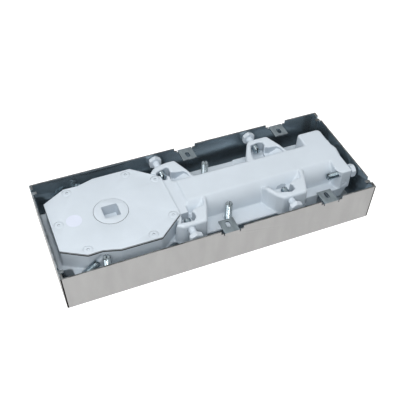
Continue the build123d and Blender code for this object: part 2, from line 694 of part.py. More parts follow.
def crosshead():
    """The block between the carriage's plates that the piston rod screws into."""
    x0, x1 = CROSSHEAD_X, CARRIAGE_X[1]
    low = LOWER_PLATE_BOTTOM + PLATE_THICK
    body = block(x0, x1, -CROSSHEAD_SIDE, CROSSHEAD_SIDE, low, UPPER_PLATE_BOTTOM)
    return body - bar_x(ROD_TAIL_RADIUS, ROD_TAIL_LEFT, x1 + 1)


def piston_rod():
    return bar_x(ROD_RADIUS, *ROD_X) + bar_x(ROD_TAIL_RADIUS, ROD_TAIL_LEFT, ROD_X[0])


def main_spring():
    """A round-wire helix between the bore's shoulder and the spring plate."""
    x0, x1 = SPRING_X[0] + SPRING_WIRE / 2, SPRING_X[1] - SPRING_WIRE / 2
    helix = Helix(pitch=(x1 - x0) / SPRING_TURNS, height=x1 - x0, radius=SPRING_RADIUS)
    section = Plane(origin=helix @ 0, z_dir=helix % 0) * Circle(SPRING_WIRE / 2)
    coil = sweep(section, path=helix, is_frenet=True)
    return Pos(x0, 0, BARREL_Z) * Rot(0, 90, 0) * coil


def spring_plate():
    left = SPRING_X[1]
    return ring_x(ROD_RADIUS, SPRING_RADIUS + SPRING_WIRE / 2, left, left + SPRING_PLATE_THICK)


def piston():
    """The piston, with its seal's groove and the passage of the check valve."""
    x0, x1 = PISTON_X
    radius = BORE_RADIUS - RUNNING_GAP
    body = ring_x(ROD_RADIUS, radius, x0, x1)
    body -= ring_x(radius - PISTON_SEAL_DEPTH, radius + 1, *PISTON_SEAL_X)
    chamber_end = BALL_SEAT_X + 2 * (BALL_RADIUS + BALL_CLEARANCE) + BALL_TRAVEL
    body -= bar_x(BALL_RADIUS + BALL_CLEARANCE, BALL_SEAT_X, chamber_end, BALL_Y)
    return body - bar_x(BALL_PORT_RADIUS, x0 - 1, x1 + 1, BALL_Y)


def piston_seal():
    radius = BORE_RADIUS - RUNNING_GAP
    return ring_x(radius - PISTON_SEAL_DEPTH, radius, *PISTON_SEAL_X)


def check_valve_ball():
    return Pos(BALL_SEAT_X + BALL_CLEARANCE + BALL_RADIUS, BALL_Y, BARREL_Z) * Sphere(BALL_RADIUS)


def rod_nut():
    start = PISTON_X[1]
    hexagon = RegularPolygon(NUT_ACROSS_FLATS / 2, 6, major_radius=False)
    nut = extrude(Plane(origin=(start, 0, BARREL_Z), z_dir=(1, 0, 0)) * hexagon, NUT_LENGTH)
    return nut - bar_x(ROD_RADIUS, start - 1, start + NUT_LENGTH + 1)


def cylinder_end_plug():
    """The screwed plug that closes the cylinder, with a hexagon socket and a seal groove."""
    plug = bar_x(PLUG_RADIUS, PLUG_START, CASTING_END)
    plug -= ring_x(PLUG_RADIUS - PLUG_SEAL_DEPTH, PLUG_RADIUS + 1, *PLUG_SEAL_X)
    hexagon = RegularPolygon(PLUG_KEY_ACROSS_FLATS / 2, 6, major_radius=False)
    face = Plane(origin=(CASTING_END - PLUG_KEY_DEPTH, 0, BARREL_Z), z_dir=(1, 0, 0))
    return plug - extrude(face * hexagon, PLUG_KEY_DEPTH + 1)


def end_plug_seal():
    return ring_x(PLUG_RADIUS - PLUG_SEAL_DEPTH, BORE_RADIUS, *PLUG_SEAL_X)


def oil_filler_plug():
    plug = bar_x(FILLER_RADIUS, CASTING_END - FILLER_LENGTH, CASTING_END - 0.5, FILLER_Y, FILLER_Z)
    hexagon = RegularPolygon(FILLER_KEY / 2, 6, major_radius=False)
    face = Plane(origin=(CASTING_END - FILLER_KEY, FILLER_Y, FILLER_Z), z_dir=(1, 0, 0))
    return plug - extrude(face * hexagon, FILLER_KEY + 1)


def valve(face_y):
    """A slotted regulating screw with a groove for its seal; face_y is the block's face."""
    side = math.copysign(1, face_y)
    body = bar_y(VALVE_RADIUS, *span(side * VALVE_INNER_END, face_y - side * VALVE_RECESS), VALVE_X, VALVE_Z)
    body -= valve_seal(face_y)
    slot_bottom = face_y - side * (VALVE_RECESS + VALVE_SLOT)
    reach = VALVE_RADIUS + 1
    half = VALVE_SLOT / 2
    return body - block(
        VALVE_X - reach, VALVE_X + reach, *span(slot_bottom, face_y), VALVE_Z - half, VALVE_Z + half
    )


def valve_seal(face_y):
    """The seal ring in a valve's groove."""
    side = math.copysign(1, face_y)
    y0, y1 = span(face_y - side * VALVE_GROOVE[0], face_y - side * VALVE_GROOVE[1])
    ring = bar_y(VALVE_RADIUS, y0, y1, VALVE_X, VALVE_Z)
    return ring - bar_y(VALVE_RADIUS - VALVE_GROOVE_DEPTH, y0 - 1, y1 + 1, VALVE_X, VALVE_Z)


def slotted_end(direction):
    """The cutter for a screwdriver slot; its mouth is at the origin, facing along direction."""
    reach = M8_RADIUS + 1
    if direction == "Y":
        return Box(SLOT_WIDTH, 2 * SLOT_DEPTH, 2 * reach)
    if direction == "X":
        return Box(2 * SLOT_DEPTH, SLOT_WIDTH, 2 * reach)
    return Box(SLOT_WIDTH, 2 * reach, 2 * SLOT_DEPTH)


def hex_head(centre, outward):
    """A hexagon head whose outer face is centred on a point."""
    plane = Plane(origin=centre, x_dir=(0, 0, 1), z_dir=outward)
    return extrude(plane * RegularPolygon(HEX_ACROSS_FLATS / 2, 6, major_radius=False), -HEX_HEIGHT)


def lateral_bolt(x, face, end):
    """A bolt through an ear, its head towards the box's wall and its slotted end inside."""
    side = math.copysign(1, face)
    bolt = hex_head((x, face, BOLT_Z), (0, side, 0))
    bolt += bar_y(M8_RADIUS, *span(end, face - side * 2), x, BOLT_Z)
    return bolt - Pos(x, end, BOLT_Z) * slotted_end("Y")


def end_bolt():
    """The lengthwise bolt in the end block's arm, its head towards the end of the box."""
    bolt = hex_head((END_BOLT_HEAD_FACE, END_BOLT_Y, END_BOLT_Z), (1, 0, 0))
    bolt += bar_x(M8_RADIUS, END_BOLT_TIP, END_BOLT_HEAD_FACE - 2, END_BOLT_Y, END_BOLT_Z)
    return bolt - Pos(END_BOLT_TIP, END_BOLT_Y, END_BOLT_Z) * slotted_end("X")


def height_studs(stud):
    """A pair of slotted studs that stand on the floor of the box."""
    x, y, top = stud
    pair = []
    for side in (-1, 1):
        bar = bar_z(M8_RADIUS, STUD_BOTTOM, top, x, side * y)
        pair.append(bar - Pos(x, side * y, top) * slotted_end("Z"))
    return Compound(children=pair)


def clamp_screw(side):
    """A tilted slotted screw that bears down and outwards at the spindle's end."""
    screw = tilted_bar(M8_RADIUS, 0, CLAMP_LENGTH, side)
    slot = Pos(CLAMP_TOP_X, side * CLAMP_Y, CLAMP_TOP_Z) * Rot(0, CLAMP_TILT, 0)
    return screw - slot * slotted_end("X")


NODES = {
    "box_shell": box_shell(),
    "left_end_plate": end_plate(BOX_LEFT, 1),
    "right_end_plate": end_plate(BOX_RIGHT, -1),
    "housing": housing(),
    "lid": lid(),
    "lid_gasket": lid_gasket(),
    "lid_screws": lid_screws(),
    "lid_label": bar_z(LABEL_RADIUS, LID_TOP, LID_TOP + LABEL_THICK, LABEL_X),
    "upper_bearing": ring_z(
        NECK_RADIUS + RUNNING_GAP, UPPER_BEARING_RADIUS, SPIGOT_BOTTOM + 0.2, UPPER_BEARING_TOP
    ),
    "spindle_seal": ring_z(NECK_RADIUS + SEAL_GAP, DISC_HOLE_RADIUS, UPPER_BEARING_TOP, SEAL_TOP),
    "lower_bearing": ring_z(
        JOURNAL_RADIUS + RUNNING_GAP, LOWER_BEARING_RADIUS, BEARING_FLOOR, CAVITY_FLOOR - 0.1
    ),
    "thrust_washer": bar_z(JOURNAL_RADIUS - 0.3, BEARING_FLOOR, BEARING_FLOOR + WASHER_THICK),
    "rod_bush": ring_x(ROD_RADIUS + RUNNING_GAP, BUSH_RADIUS, BUSH_START, BORE_START),
    "cylinder_end_plug": cylinder_end_plug(),
    "end_plug_seal": end_plug_seal(),
    "oil_filler_plug": oil_filler_plug(),
    "spindle": spindle(),
    "heart_cam": heart_cam(),
    "cam_key": cam_key(),
    "lower_plate": carriage_plate(LOWER_PLATE_BOTTOM),
    "upper_plate": carriage_plate(UPPER_PLATE_BOTTOM),
    "plate_spacers": plate_spacers(),
    "roller_pin": roller_pin(),
    "cam_roller": cam_roller(),
    "crosshead": crosshead(),
    "piston_rod": piston_rod(),
    "main_spring": main_spring(),
    "spring_plate": spring_plate(),
    "piston": piston(),
    "piston_seal": piston_seal(),
    "check_valve_ball": check_valve_ball(),
    "rod_nut": rod_nut(),
    "closing_speed_valve": valve(ARM_FRONT),
    "closing_valve_seal": valve_seal(ARM_FRONT),
    "latching_speed_valve": valve(BLOCK_BACK),
    "latching_valve_seal": valve_seal(BLOCK_BACK),
    "left_height_studs": height_studs(LEFT_STUD),
    "middle_height_studs": height_studs(MIDDLE_STUD),
    "front_left_bolt": lateral_bolt(FRONT_BOLT_XS[0], FRONT_HEAD_FACES[0], FRONT_INNER_ENDS[0]),
    "front_right_bolt": lateral_bolt(FRONT_BOLT_XS[1], FRONT_HEAD_FACES[1], FRONT_INNER_ENDS[1]),
    "back_left_bolt": lateral_bolt(BACK_BOLT_XS[0], BACK_HEAD_FACES[0], BACK_INNER_ENDS[0]),
    "back_right_bolt": lateral_bolt(BACK_BOLT_XS[1], BACK_HEAD_FACES[1], BACK_INNER_ENDS[1]),
    "end_bolt": end_bolt(),
    "front_clamp_screw": clamp_screw(-1),
    "back_clamp_screw": clamp_screw(1),
}

os.makedirs("parts", exist_ok=True)
for name, shape in NODES.items():
    export_step(shape, f"parts/{name}.step")
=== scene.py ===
import bmesh
import bpy
import math
from mathutils import Matrix, Vector


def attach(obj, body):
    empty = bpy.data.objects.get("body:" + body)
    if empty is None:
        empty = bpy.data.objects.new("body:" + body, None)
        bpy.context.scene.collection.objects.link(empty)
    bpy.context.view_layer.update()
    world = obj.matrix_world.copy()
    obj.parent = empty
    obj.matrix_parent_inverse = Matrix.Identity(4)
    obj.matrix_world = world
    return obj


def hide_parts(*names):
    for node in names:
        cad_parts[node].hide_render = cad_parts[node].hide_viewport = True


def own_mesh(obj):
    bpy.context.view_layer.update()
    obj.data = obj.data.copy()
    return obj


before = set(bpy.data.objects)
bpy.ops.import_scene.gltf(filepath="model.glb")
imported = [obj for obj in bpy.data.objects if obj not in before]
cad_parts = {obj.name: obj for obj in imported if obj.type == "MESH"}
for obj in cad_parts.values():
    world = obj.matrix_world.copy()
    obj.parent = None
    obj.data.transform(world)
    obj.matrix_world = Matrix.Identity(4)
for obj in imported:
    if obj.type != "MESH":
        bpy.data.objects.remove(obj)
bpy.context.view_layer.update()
bpy.ops.object.select_all(action="DESELECT")

# Camera. The product is seen from above the front left corner, as on a studio table;
# the eye, the point looked at and the small roll come from the box's six corners.
CAMERA_AT = Vector((-0.10686, -0.48126, 0.56219))
CAMERA_LOOKS_AT = Vector((0.1006, 0.0020, 0.0200))
CAMERA_ROLL = math.radians(1.44)
CAMERA_LENS = 61.85
camera_data = bpy.data.cameras.new("camera")
camera_data.lens = CAMERA_LENS
camera_data.sensor_width = 36.0
camera = bpy.data.objects.new("camera", camera_data)
bpy.context.scene.collection.objects.link(camera)
gaze = (CAMERA_LOOKS_AT - CAMERA_AT).to_track_quat("-Z", "Y").to_matrix().to_4x4()
camera.matrix_world = Matrix.Translation(CAMERA_AT) @ gaze @ Matrix.Rotation(CAMERA_ROLL, 4, "Z")
bpy.context.scene.camera = camera

# Studio. A white table, soft lamps overhead, in front and on the left, and a surround that
# is bright above and greyer towards the horizon, so that bare metal has something to reflect.
HORIZON_GREY = (0.50, 0.51, 0.53, 1.0)
ZENITH_WHITE = (1.0, 1.0, 1.0, 1.0)
SURROUND_STRENGTH = 0.62
scene = bpy.context.scene
scene.view_settings.view_transform = "Standard"
world = bpy.data.worlds.new("studio")
scene.world = world
world.use_nodes = True
surround = world.node_tree
direction = surround.nodes.new("ShaderNodeTexCoord")
height = surround.nodes.new("ShaderNodeSeparateXYZ")
sky = surround.nodes.new("ShaderNodeValToRGB")
sky.color_ramp.elements[0].position = 0.05
sky.color_ramp.elements[0].color = HORIZON_GREY
sky.color_ramp.elements[1].position = 0.75
sky.color_ramp.elements[1].color = ZENITH_WHITE
surround.links.new(direction.outputs["Generated"], height.inputs["Vector"])
surround.links.new(height.outputs["Z"], sky.inputs["Fac"])
surround.links.new(sky.outputs["Color"], surround.nodes["Background"].inputs["Color"])
surround.nodes["Background"].inputs["Strength"].default_value = SURROUND_STRENGTH


def soft_lamp(name, place, aim, size, watts):
    lamp_data = bpy.data.lights.new(name, "AREA")
    lamp_data.shape = "RECTANGLE"
    lamp_data.size, lamp_data.size_y = size
    lamp_data.energy = watts
    lamp = bpy.data.objects.new(name, lamp_data)
    scene.collection.objects.link(lamp)
    turn = (Vector(aim) - Vector(place)).to_track_quat("-Z", "Y").to_matrix().to_4x4()
    lamp.matrix_world = Matrix.Translation(Vector(place)) @ turn


soft_lamp("overhead_lamp", (0.05, 0.05, 1.3), (0.0, 0.0, 0.0), (1.0, 0.7), 3.1)
soft_lamp("front_lamp", (-0.28, -0.96, 1.00), (0.0, 0.0, 0.0), (0.6, 0.45), 6.2)
soft_lamp("left_lamp", (-1.0, -0.2, 1.0), (0.0, 0.0, 0.0), (0.8, 0.9), 4.3)

TABLE_WIDTH = 6.0
TABLE_CENTRE = (0.1, 0.0, -0.0002)
TABLE_GREY = (0.6, 0.6, 0.6, 1.0)
TABLE_ROUGHNESS = 0.9
TABLE_GLOW = 0.8
bpy.ops.mesh.primitive_plane_add(size=TABLE_WIDTH, location=TABLE_CENTRE)
table = bpy.context.active_object
table.name = "table"
white = bpy.data.materials.new("table_white")
white.use_nodes = True
table_shader = white.node_tree.nodes["Principled BSDF"]
table_shader.inputs["Base Color"].default_value = TABLE_GREY
table_shader.inputs["Roughness"].default_value = TABLE_ROUGHNESS
table_shader.inputs["Emission Color"].default_value = (1.0, 1.0, 1.0, 1.0)
table_shader.inputs["Emission Strength"].default_value = TABLE_GLOW
table.data.materials.append(white)
bpy.ops.object.select_all(action="DESELECT")

# Floor box. One folded steel sheet makes the floor, both long walls and the laps at their
# ends; two end walls are spot-welded over the laps, with hooks bent in. The outside is
# brushed and warm grey, the inside dark and glossy; the floor inside is a lighter slate as
# painted light, the tab side edges and the left wall's hook tops carry a painted highlight,
# and the sheared edges are painted near-black as shade.
SHEET = 0.0015
BOX_FRONT = -0.072
BOX_BACK = 0.063
BOX_TOP = 0.0475
TAB_TOP = 0.0435
HOOK_TOP = 0.0455
OUTSIDE_GREY = (0.345, 0.342, 0.338)
INSIDE_SLATE = (0.27, 0.325, 0.36)
PAINTED_LIGHT_FLOOR_SLATE = (0.46, 0.52, 0.57)
TAB_GREY = (0.215, 0.26, 0.285)
RIM_GREY = (0.12, 0.125, 0.125)
PAINTED_HIGHLIGHT_RIM = (0.18, 0.205, 0.22)
EDGE_PAINTED_SHADE = (0.009, 0.008, 0.007)
TAB_SIDE_AREA = 0.000012
END_WALL_LEAN = 0.0019
LEFT_WALL_X = -0.0692
RIGHT_WALL_X = 0.2718
WALL_MARGIN = 0.001
HOOK_MARGIN = 0.0003
SKIN_MARGIN = 0.0005
UNDERSIDE_Z = 0.0004
INSIDE_FACE, OUTSIDE_FACE, TAB_FACE, SHEARED_PAINTED_SHADE_FACE, RIM_FACE, FLOOR_PAINTED_LIGHT_FACE, TAB_SIDE_PAINTED_HIGHLIGHT_FACE = range(7)
BOX_ROUNDING = 0.0003
PLATE_ROUNDING = 0.0001


def select_only(piece):
    bpy.ops.object.select_all(action="DESELECT")
    piece.select_set(True)
    bpy.context.view_layer.objects.active = piece


def clean_copy(node, name, flat_angle=0.5):
    """A copy of a CAD node with its loose triangles merged and its flat faces made whole."""
    piece = bpy.data.objects.new(name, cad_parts[node].data.copy())
    scene.collection.objects.link(piece)
    piece.data.materials.clear()
    select_only(piece)
    bpy.ops.object.mode_set(mode="EDIT")
    bpy.ops.mesh.select_all(action="SELECT")
    bpy.ops.mesh.remove_doubles(threshold=0.000002)
    bpy.ops.mesh.dissolve_limited(angle_limit=math.radians(flat_angle))
    bpy.ops.object.mode_set(mode="OBJECT")
    return piece


def apply_bevel(piece, width, segments=2, angle=35):
    select_only(piece)
    bevel = piece.modifiers.new("rounding", "BEVEL")
    bevel.width = width
    bevel.segments = segments
    bevel.limit_method = "ANGLE"
    bevel.angle_limit = math.radians(angle)
    bevel.use_clamp_overlap = True
    bpy.ops.object.modifier_apply(modifier="rounding")


def smooth_by_angle(piece, angle=35):
    select_only(piece)
    bpy.ops.object.shade_smooth_by_angle(angle=math.radians(angle))


def finish_piece(piece, body, slot, *nodes):
    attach(piece, body)
    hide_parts(*nodes)


def new_finish(name, colour, roughness, metallic=0.0):
    finish = bpy.data.materials.new(name)
    finish.use_nodes = True
    shader = finish.node_tree.nodes["Principled BSDF"]
    shader.inputs["Base Color"].default_value = (*colour, 1.0)
    shader.inputs["Roughness"].default_value = roughness
    shader.inputs["Metallic"].default_value = metallic
    return finish, finish.node_tree, shader


def add_grain(tree, shader, stretch, tones, spread, bump, fine_scale):
    """Colour that varies between two tones over broad patches, and a fine bump."""
    place = tree.nodes.new("ShaderNodeTexCoord")
    mapping = tree.nodes.new("ShaderNodeMapping")
    mapping.inputs["Scale"].default_value = stretch
    tree.links.new(place.outputs["Object"], mapping.inputs["Vector"])
    patches = tree.nodes.new("ShaderNodeTexNoise")
    patches.inputs["Scale"].default_value = spread
    patches.inputs["Detail"].default_value = 5.0
    tree.links.new(mapping.outputs["Vector"], patches.inputs["Vector"])
    ramp = tree.nodes.new("ShaderNodeValToRGB")
    ramp.color_ramp.elements[0].position = 0.35
    ramp.color_ramp.elements[0].color = (*tones[0], 1.0)
    ramp.color_ramp.elements[1].position = 0.65
    ramp.color_ramp.elements[1].color = (*tones[1], 1.0)
    tree.links.new(patches.outputs["Fac"], ramp.inputs["Fac"])
    tree.links.new(ramp.outputs["Color"], shader.inputs["Base Color"])
    grain = tree.nodes.new("ShaderNodeTexNoise")
    grain.inputs["Scale"].default_value = fine_scale
    grain.inputs["Detail"].default_value = 4.0
    tree.links.new(mapping.outputs["Vector"], grain.inputs["Vector"])
    relief = tree.nodes.new("ShaderNodeBump")
    relief.inputs["Strength"].default_value = bump[0]
    relief.inputs["Distance"].default_value = bump[1]
    tree.links.new(grain.outputs["Fac"], relief.inputs["Height"])
    tree.links.new(relief.outputs["Normal"], shader.inputs["Normal"])


def shade(colour, factor):
    return tuple(min(1.0, channel * factor) for channel in colour)


brushed_steel, tree, shader = new_finish("brushed_outside", OUTSIDE_GREY, 0.5, 0.35)
add_grain(tree, shader, (1.0, 1.0, 0.25), (shade(OUTSIDE_GREY, 0.95), shade(OUTSIDE_GREY, 1.05)),
          70.0, (0.2, 0.0002), 900.0)
slate_steel, tree, shader = new_finish("slate_inside", INSIDE_SLATE, 0.24, 0.92)
add_grain(tree, shader, (1.0, 1.0, 2.0), (shade(INSIDE_SLATE, 0.8), shade(INSIDE_SLATE, 1.2)),
          18.0, (0.1, 0.0002), 500.0)
tab_steel, tree, shader = new_finish("tab_face", TAB_GREY, 0.4, 0.5)
add_grain(tree, shader, (3.0, 1.0, 1.0), (shade(TAB_GREY, 0.85), shade(TAB_GREY, 1.15)),
          90.0, (0.2, 0.0002), 800.0)
worn_rim, tree, shader = new_finish("worn_rim", RIM_GREY, 0.5, 0.4)
add_grain(tree, shader, (1.0, 1.0, 1.0), (shade(RIM_GREY, 0.5), shade(RIM_GREY, 1.7)),
          120.0, (0.3, 0.0002), 900.0)
# Painted highlight: a lighter rim for the side edges of the tabs and the left wall's hook tops.
rim_painted_highlight, tree, shader = new_finish("rim_painted_highlight", PAINTED_HIGHLIGHT_RIM, 0.45, 0.3)
add_grain(tree, shader, (1.0, 1.0, 1.0), (shade(PAINTED_HIGHLIGHT_RIM, 0.6), shade(PAINTED_HIGHLIGHT_RIM, 1.6)),
          160.0, (0.3, 0.0002), 900.0)
# Painted shade: the end walls' sheared edges are near-black with little gloss, for the shade in the
# gap between the sheets.
sheared_edge_painted_shade, tree, shader = new_finish("sheared_edge_painted_shade", EDGE_PAINTED_SHADE, 0.8)
shader.inputs["Specular IOR Level"].default_value = 0.1
add_grain(tree, shader, (1.0, 1.0, 1.0), (shade(EDGE_PAINTED_SHADE, 0.6), shade(EDGE_PAINTED_SHADE, 1.6)),
          120.0, (0.3, 0.0002), 900.0)
# Painted light: the floor inside is the same sheet as the walls, made a lighter slate for the lamp
# light that barely reaches it.
floor_painted_light, tree, shader = new_finish("slate_floor_painted_light", PAINTED_LIGHT_FLOOR_SLATE, 0.35, 0.25)
add_grain(tree, shader, (1.0, 1.0, 1.0), (shade(PAINTED_LIGHT_FLOOR_SLATE, 0.9), shade(PAINTED_LIGHT_FLOOR_SLATE, 1.1)),
          25.0, (0.15, 0.0002), 500.0)


def finish_sheet_faces(piece, outer_x, rim):
    """Outside, inside, floor, tabs, tab sides, rim and sheared edges each get their own finish; the
    floor's is painted light, the tab sides' a painted highlight and the sheared edges' painted shade.
    """
    finishes = (slate_steel, brushed_steel, tab_steel, sheared_edge_painted_shade, rim, floor_painted_light, rim_painted_highlight)
    for finish in finishes:
        piece.data.materials.append(finish)
    for face in piece.data.polygons:
        x, y, z = face.center
        normal = face.normal
        lean_x = outer_x + math.copysign(END_WALL_LEAN, outer_x) * z / BOX_TOP if outer_x else None
        inside_walls = BOX_FRONT + WALL_MARGIN < y < BOX_BACK - WALL_MARGIN
        on_tab = TAB_TOP - 2 * SHEET < z < HOOK_TOP + HOOK_MARGIN and inside_walls
        # The end walls' sheared edges get the painted shade.
        if outer_x and abs(normal.y) > 0.8 and not inside_walls:
            face.material_index = SHEARED_PAINTED_SHADE_FACE
        elif outer_x and HOOK_TOP - HOOK_MARGIN < z < HOOK_TOP + HOOK_MARGIN and normal.z > 0.6:
            face.material_index = RIM_FACE
        elif on_tab and abs(normal.z) > 0.6:
            face.material_index = TAB_FACE
        # The side edges of the tabs get the painted highlight.
        elif TAB_TOP - SHEET < z < TAB_TOP and inside_walls and face.area > TAB_SIDE_AREA:
            face.material_index = TAB_SIDE_PAINTED_HIGHLIGHT_FACE
        elif normal.z > 0.7 and z > TAB_TOP - 2 * SHEET:
            face.material_index = RIM_FACE
        # The floor faces get the lighter slate, painted light.
        elif normal.z > 0.7 and z < 3 * SHEET:
            face.material_index = FLOOR_PAINTED_LIGHT_FACE
        elif y < BOX_FRONT + SKIN_MARGIN or y > BOX_BACK - SKIN_MARGIN or z < UNDERSIDE_Z:
            face.material_index = OUTSIDE_FACE
        elif outer_x and abs(x - lean_x) < SKIN_MARGIN:
            face.material_index = OUTSIDE_FACE


box_body = clean_copy("box_shell", "box_body")
finish_sheet_faces(box_body, 0.0, worn_rim)
apply_bevel(box_body, BOX_ROUNDING)
smooth_by_angle(box_body)
finish_piece(box_body, "box", "box_steel", "box_shell")
# The left wall's hook tops get the painted highlight, the right wall's the worn rim.
for side, outer_x, rim in (("left", LEFT_WALL_X, rim_painted_highlight), ("right", RIGHT_WALL_X, worn_rim)):
    wall = clean_copy(side + "_end_plate", side + "_end_wall")
    finish_sheet_faces(wall, outer_x, rim)
    apply_bevel(wall, PLATE_ROUNDING)
    smooth_by_angle(wall)
    finish_piece(wall, "box", "box_steel", side + "_end_plate")

# Height studs. Four M8 grub screws of bright zinc-plated steel stand on the floor of the box
# and carry the casting; their rolled threads show above the flange, slotted on top.
THREAD_CREST = 0.0039
THREAD_ROOT = 0.00335
THREAD_PITCH = 0.00125
THREAD_STEPS = 28
GROOVE_BELOW_MIDDLE = 0.00012
TIP_CHAMFER = 0.0007
SLOT_WIDTH = 0.0015
SLOT_DEPTH = 0.0024
STUD_BOTTOM = 0.00155
STUD_PLACES = {
    "left_height_studs": (-0.0212, 0.0532, 0.0386),
    "middle_height_studs": (0.1187, 0.0334, 0.0426),
}
STUD_SLOT_TURN = math.radians(-17)

zinc_crest, tree, shader = new_finish("zinc_crest", (0.44, 0.51, 0.55), 0.16, 1.0)
add_grain(tree, shader, (1.0, 1.0, 1.0), ((0.36, 0.43, 0.47), (0.52, 0.60, 0.64)),
          150.0, (0.15, 0.0001), 1800.0)
# Painted shade: a dark colour for the thread grooves, the gap round the spindle's disc and the lid
# screws' sockets.
groove_painted_shade, tree, shader = new_finish("groove_painted_shade", (0.05, 0.065, 0.075), 0.5, 0.7)
add_grain(tree, shader, (1.0, 1.0, 1.0), ((0.03, 0.04, 0.046), (0.08, 0.10, 0.115)),
          200.0, (0.2, 0.0001), 1800.0)


def cut_square(mesh, low, high):
    """Cuts an endless thread off at two heights and closes both ends."""
    work = bmesh.new()
    work.from_mesh(mesh)
    bmesh.ops.remove_doubles(work, verts=work.verts, dist=0.000005)
    for level, outward in ((low, -1.0), (high, 1.0)):
        everything = work.verts[:] + work.edges[:] + work.faces[:]
        bmesh.ops.bisect_plane(
            work, geom=everything, plane_co=(0.0, 0.0, level), plane_no=(0.0, 0.0, outward),
            clear_outer=True, dist=0.0000001,
        )
        rim = [edge for edge in work.edges if edge.is_boundary]
        rim = [edge for edge in rim if all(abs(v.co.z - level) < 0.000002 for v in edge.verts)]
        bmesh.ops.holes_fill(work, edges=rim)
    bmesh.ops.recalc_face_normals(work, faces=work.faces)
    work.to_mesh(mesh)
    work.free()


def threaded_rod(name, length, slot_turn=0.0):
    """A thread along Z from 0 to length, chamfered at both ends and slotted at the far one."""
    crest, root, pitch = THREAD_CREST, THREAD_ROOT, THREAD_PITCH
    profile = [(root, 0.0), (crest, pitch * 0.38), (crest, pitch * 0.62), (root, pitch)]
    mesh = bpy.data.meshes.new(name)
    mesh.from_pydata([(x, 0.0, z) for x, z in profile], [(0, 1), (1, 2), (2, 3)], [])
    rod = bpy.data.objects.new(name, mesh)
    scene.collection.objects.link(rod)
    select_only(rod)
    turn = rod.modifiers.new("thread", "SCREW")
    turn.axis = "Z"
    turn.screw_offset = pitch
    turn.iterations = int(length / pitch) + 3
    turn.steps = THREAD_STEPS
    turn.render_steps = THREAD_STEPS
    bpy.ops.object.modifier_apply(modifier="thread")
    cut_square(rod.data, pitch, pitch + length)
    for vertex in rod.data.vertices:
        vertex.co.z -= pitch
        from_end = min(vertex.co.z, length - vertex.co.z)
        reach = crest - TIP_CHAMFER + from_end
        radius = math.hypot(vertex.co.x, vertex.co.y)
        if radius > reach:
            vertex.co.x *= reach / radius
            vertex.co.y *= reach / radius
    cutter = box_cutter((SLOT_WIDTH, 4 * crest, 2 * SLOT_DEPTH), (0.0, 0.0, length), slot_turn)
    cut_away(rod, cutter)
    return rod


def box_cutter(size, centre, turn):
    bpy.ops.mesh.primitive_cube_add(size=1.0)
    cutter = bpy.context.active_object
    place = Matrix.Translation(centre) @ Matrix.Rotation(turn, 4, "Z") @ Matrix.Diagonal((*size, 1.0))
    cutter.data.transform(place)
    return cutter


def cut_away(piece, cutter):
    select_only(piece)
    cut = piece.modifiers.new("cut", "BOOLEAN")
    cut.operation = "DIFFERENCE"
    cut.solver = "EXACT"
    cut.object = cutter
    bpy.ops.object.modifier_apply(modifier="cut")
    bpy.data.objects.remove(cutter)


def join_pieces(name, pieces):
    bpy.ops.object.select_all(action="DESELECT")
    for piece in pieces:
        piece.select_set(True)
    bpy.context.view_layer.objects.active = pieces[0]
    bpy.ops.object.join()
    joined = bpy.context.active_object
    joined.name = name
    return joined


def finish_thread(piece, axis_point, axis, is_painted):
    """Crests bright zinc, grooves painted dark as shade, and sprayed with paint wherever the spray gun
    reached.
    """
    for finish in (zinc_crest, groove_painted_shade, casting_paint):
        piece.data.materials.append(finish)
    groove_radius = (THREAD_CREST + THREAD_ROOT) / 2 - GROOVE_BELOW_MIDDLE
    for face in piece.data.polygons:
        arm = Vector(face.center) - axis_point
        radius = (arm - axis * arm.dot(axis)).length
        if is_painted(face.center):
            face.material_index = 2
        elif radius < groove_radius and abs(face.normal.dot(axis)) < 0.9:
            face.material_index = 1
    smooth_by_angle(piece, 25)


def never_painted(place):
    return False


PAINT_BLUE_GREY = (0.63, 0.70, 0.765)
casting_paint, tree, shader = new_finish("casting_paint", PAINT_BLUE_GREY, 0.42)
shader.inputs["Coat Weight"].default_value = 0.15
shader.inputs["Coat Roughness"].default_value = 0.3
add_grain(tree, shader, (1.0, 1.0, 1.0), (shade(PAINT_BLUE_GREY, 0.975), shade(PAINT_BLUE_GREY, 1.02)),
          35.0, (0.22, 0.0003), 420.0)

for node, (x, y, top) in STUD_PLACES.items():
    pair = []
    for side in (-1, 1):
        stud = threaded_rod("stud", top - STUD_BOTTOM, STUD_SLOT_TURN)
        stud.data.transform(Matrix.Translation((x, side * y, STUD_BOTTOM)))
        finish_thread(stud, Vector((x, side * y, 0.0)), Vector((0.0, 0.0, 1.0)), never_painted)
        pair.append(stud)
    studs = join_pieces(node.replace("height_studs", "threaded_studs"), pair)
    finish_piece(studs, "height_studs", "zinc_screw", node)

# Casting. Head, neck, cylinder, flange, ears and end block are one grey-iron casting with
# soft edges everywhere, sprayed in a pale blue-grey paint that shows the sand's texture.
CASTING_VOXEL = 0.0008
CASTING_TRIANGLES = 185000
PAINTED_SHADE_BLUE_GREY = (0.40, 0.46, 0.52)
POCKETS = (
    (0.0720, -0.0380), (0.1860, -0.0360), (0.0710, 0.0360), (0.0848, 0.0235),
    (0.1860, 0.0360), (0.2000, 0.0235),
)
POCKET_REACH = 0.0135
POCKET_HEIGHTS = (0.0326, 0.0436)

# Painted shade: a darker paint for the walls of the ears' pockets, the spindle's socket walls and the
# sides of the lid screw heads.
shaded_paint, tree, shader = new_finish("shaded_paint", PAINTED_SHADE_BLUE_GREY, 0.5)
add_grain(tree, shader, (1.0, 1.0, 1.0), (shade(PAINTED_SHADE_BLUE_GREY, 0.95), shade(PAINTED_SHADE_BLUE_GREY, 1.05)),
          90.0, (0.2, 0.0002), 900.0)


